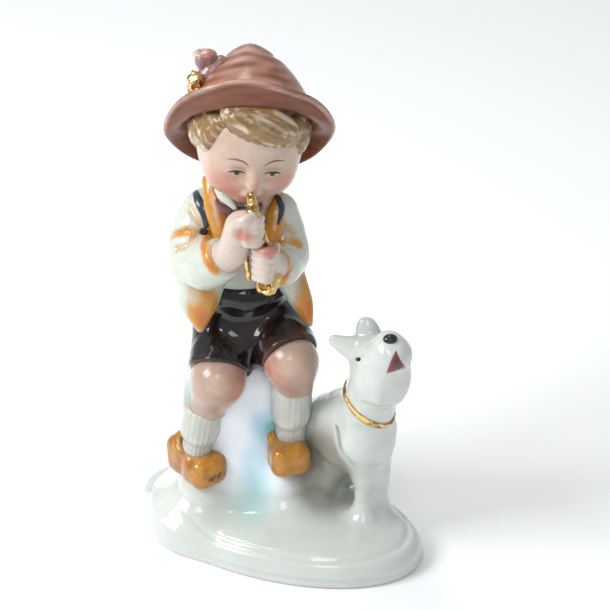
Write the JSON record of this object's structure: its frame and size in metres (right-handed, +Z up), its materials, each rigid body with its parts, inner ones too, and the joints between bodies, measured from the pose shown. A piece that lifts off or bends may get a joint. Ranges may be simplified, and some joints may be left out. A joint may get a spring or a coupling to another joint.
{
  "type": "porcelain figurine",
  "caption": "Glazed porcelain figurine of a seated boy in a felt hat playing a pipe beside a howling white terrier, on an oval base.",
  "frame": {"origin": "centre of the oval base's foot ring, on the surface it stands on", "axes": "+Z up; the boy faces -Y; +X runs to the boy's left, where the dog sits"},
  "size_m": [0.0754, 0.0526, 0.1331],
  "materials": {
    "white_glaze": "gloss clear glaze over white porcelain",
    "skin_glaze": "gloss glaze over pink flesh paint",
    "shirt_glaze": "gloss glaze, white shirt with faint ochre shading",
    "sock_glaze": "gloss glaze, warm grey-white",
    "ochre_glaze": "gloss glaze over orange-ochre paint",
    "black_brown_glaze": "gloss glaze over black-brown paint",
    "felt_glaze": "gloss glaze over brushed brown paint",
    "hair_glaze": "gloss glaze over fair brown paint",
    "maroon_glaze": "gloss glaze over maroon paint",
    "mauve_glaze": "gloss glaze over mauve paint",
    "red_glaze": "gloss glaze over red-brown paint",
    "dark_glaze": "gloss glaze over blue-black paint",
    "gold_lustre": "bright gold lustre fired over the glaze"
  },
  "bodies": {
    "root": {"base_plinth": "white_glaze", "rock_seat": "white_glaze", "dog_body": "white_glaze", "dog_head": "white_glaze", "dog_right_ear": "white_glaze", "dog_left_ear": "white_glaze", "dog_right_haunch": "white_glaze", "dog_left_haunch": "white_glaze", "dog_right_foreleg": "white_glaze", "dog_left_foreleg": "white_glaze", "head": "skin_glaze", "right_leg": "skin_glaze", "left_leg": "skin_glaze", "right_hand": "skin_glaze", "left_hand": "skin_glaze", "torso": "shirt_glaze", "right_sleeve": "shirt_glaze", "left_sleeve": "shirt_glaze", "right_sock": "sock_glaze", "left_sock": "sock_glaze", "right_shoe": "ochre_glaze", "left_shoe": "ochre_glaze", "right_lapel": "ochre_glaze", "left_lapel": "ochre_glaze", "right_jacket_tail": "ochre_glaze", "left_jacket_tail": "ochre_glaze", "shorts_seat": "black_brown_glaze", "right_shorts_leg": "black_brown_glaze", "left_shorts_leg": "black_brown_glaze", "hat": "felt_glaze", "hair": "hair_glaze", "bow_tie": "maroon_glaze", "hat_feather": "mauve_glaze", "hat_brush": "mauve_glaze", "dog_mouth": "red_glaze", "dog_nose": "dark_glaze", "pipe_mouthpiece": "gold_lustre", "pipe_body": "gold_lustre", "pipe_bell": "gold_lustre", "drone_pipe": "gold_lustre", "hat_badge": "gold_lustre", "dog_collar": "gold_lustre"}
  },
  "joints": []
}
